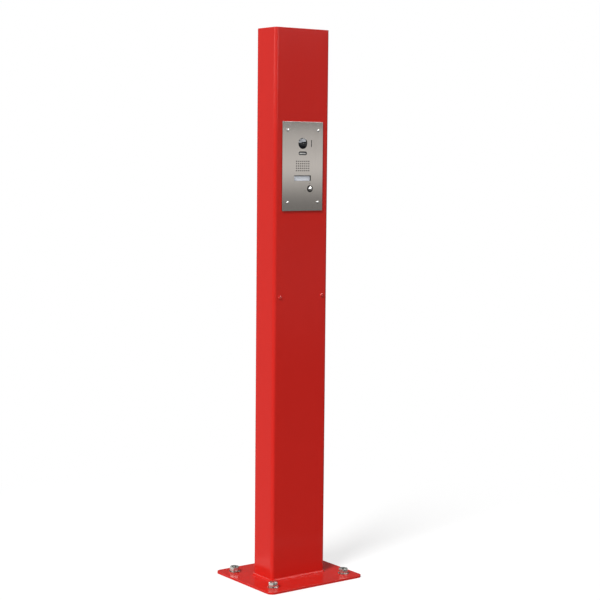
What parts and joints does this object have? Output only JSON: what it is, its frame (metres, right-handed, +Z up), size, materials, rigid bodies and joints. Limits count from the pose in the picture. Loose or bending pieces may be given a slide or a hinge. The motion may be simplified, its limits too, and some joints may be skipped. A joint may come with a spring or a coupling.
{
  "type": "gate intercom post",
  "caption": "Free-standing rectangular steel post on an anchored base plate, with a flush stainless video door station near its top.",
  "frame": {"origin": "on the post's centre line at the underside of the base plate, at ground level and in the middle of the four anchors", "axes": "+Z up along the post, -Y out of the front face with the door station, +X to the right seen from behind, which is the viewer's right when facing the front"},
  "size_m": [0.316, 0.272, 1.599],
  "materials": {
    "red_coat": "satin powder coat",
    "zinc_steel": "zinc plated",
    "galvanised_sheet": "galvanised",
    "brushed_stainless": "brushed",
    "polished_stainless": "polished",
    "black_rubber": "matt",
    "black_plastic": "fine grain",
    "brass": "turned",
    "small_steel": "turned",
    "green_plastic": "moulded",
    "board_green": "solder mask",
    "chip_black": "moulded",
    "capacitor_sleeve": "gloss sleeve",
    "clear_window": "polished clear",
    "ball_black": "gloss",
    "barrel_black": "black anodised",
    "lens_glass": "coated",
    "lamp_diffuser": "milky",
    "diode_clear": "clear resin",
    "speaker_cloth": "woven",
    "cone_paper": "pressed pulp",
    "magnet_ferrite": "pressed ferrite",
    "name_glass": "polished clear",
    "card_paper": "smooth",
    "spring_steel": "drawn wire",
    "alu_can": "drawn",
    "light_pipe": "clear"
  },
  "bodies": {
    "post": {"base_plate": "red_coat", "post_tube": "red_coat", "top_cap": "red_coat", "base_weld": "red_coat", "anchor_studs": "zinc_steel", "anchor_sleeves": "zinc_steel", "anchor_washers": "zinc_steel", "anchor_nuts": "zinc_steel", "inner_bracket": "galvanised_sheet", "bracket_screws": "red_coat", "bracket_nuts": "zinc_steel", "box_carrier": "galvanised_sheet", "carrier_nuts": "zinc_steel", "box_screws": "zinc_steel", "back_box": "galvanised_sheet", "cable_grommet": "black_rubber", "plate_gasket": "black_rubber", "face_plate": "brushed_stainless", "plate_screws": "polished_stainless", "plate_standoffs": "brass", "module_housing": "black_plastic", "housing_screws": "small_steel", "terminal_block": "green_plastic", "terminal_screws": "small_steel", "circuit_board": "board_green", "board_spacers": "brass", "board_screws": "small_steel", "processor": "chip_black", "capacitors": "capacitor_sleeve", "camera_cradle": "black_plastic", "cradle_screws": "small_steel", "camera_dome": "clear_window", "led_window": "lamp_diffuser", "leds": "diode_clear", "led_board": "board_green", "led_header": "black_plastic", "speaker_mesh": "speaker_cloth", "speaker_frame": "small_steel", "speaker_cone": "cone_paper", "speaker_magnet": "magnet_ferrite", "name_window": "name_glass", "name_holder": "black_plastic", "name_card": "card_paper", "button_bezel": "polished_stainless", "button_nut": "zinc_steel", "button_spring": "spring_steel", "button_switch": "black_plastic", "mic_boot": "black_rubber", "microphone": "alu_can", "status_light": "light_pipe", "status_led": "diode_clear"},
    "camera_head": {"camera_ball": "ball_black", "lens_barrel": "barrel_black", "camera_lens": "lens_glass", "tilt_lever": "black_plastic"},
    "button": {"call_button": "polished_stainless", "button_clip": "spring_steel"}
  },
  "joints": [
    {"name": "camera_tilt", "type": "hinge", "parent": "post", "child": "camera_head", "pos_m": [0, -0.0325, 1.202], "axis": [1, 0, 0], "range_deg": [-30, 30]},
    {"name": "button_press", "type": "slide", "parent": "post", "child": "button", "axis": [0, 1, 0], "range_m": [0, 0.0015], "stiffness_N_per_m": 800, "springref_m": -0.0015, "deforming": ["button_spring"]}
  ]
}
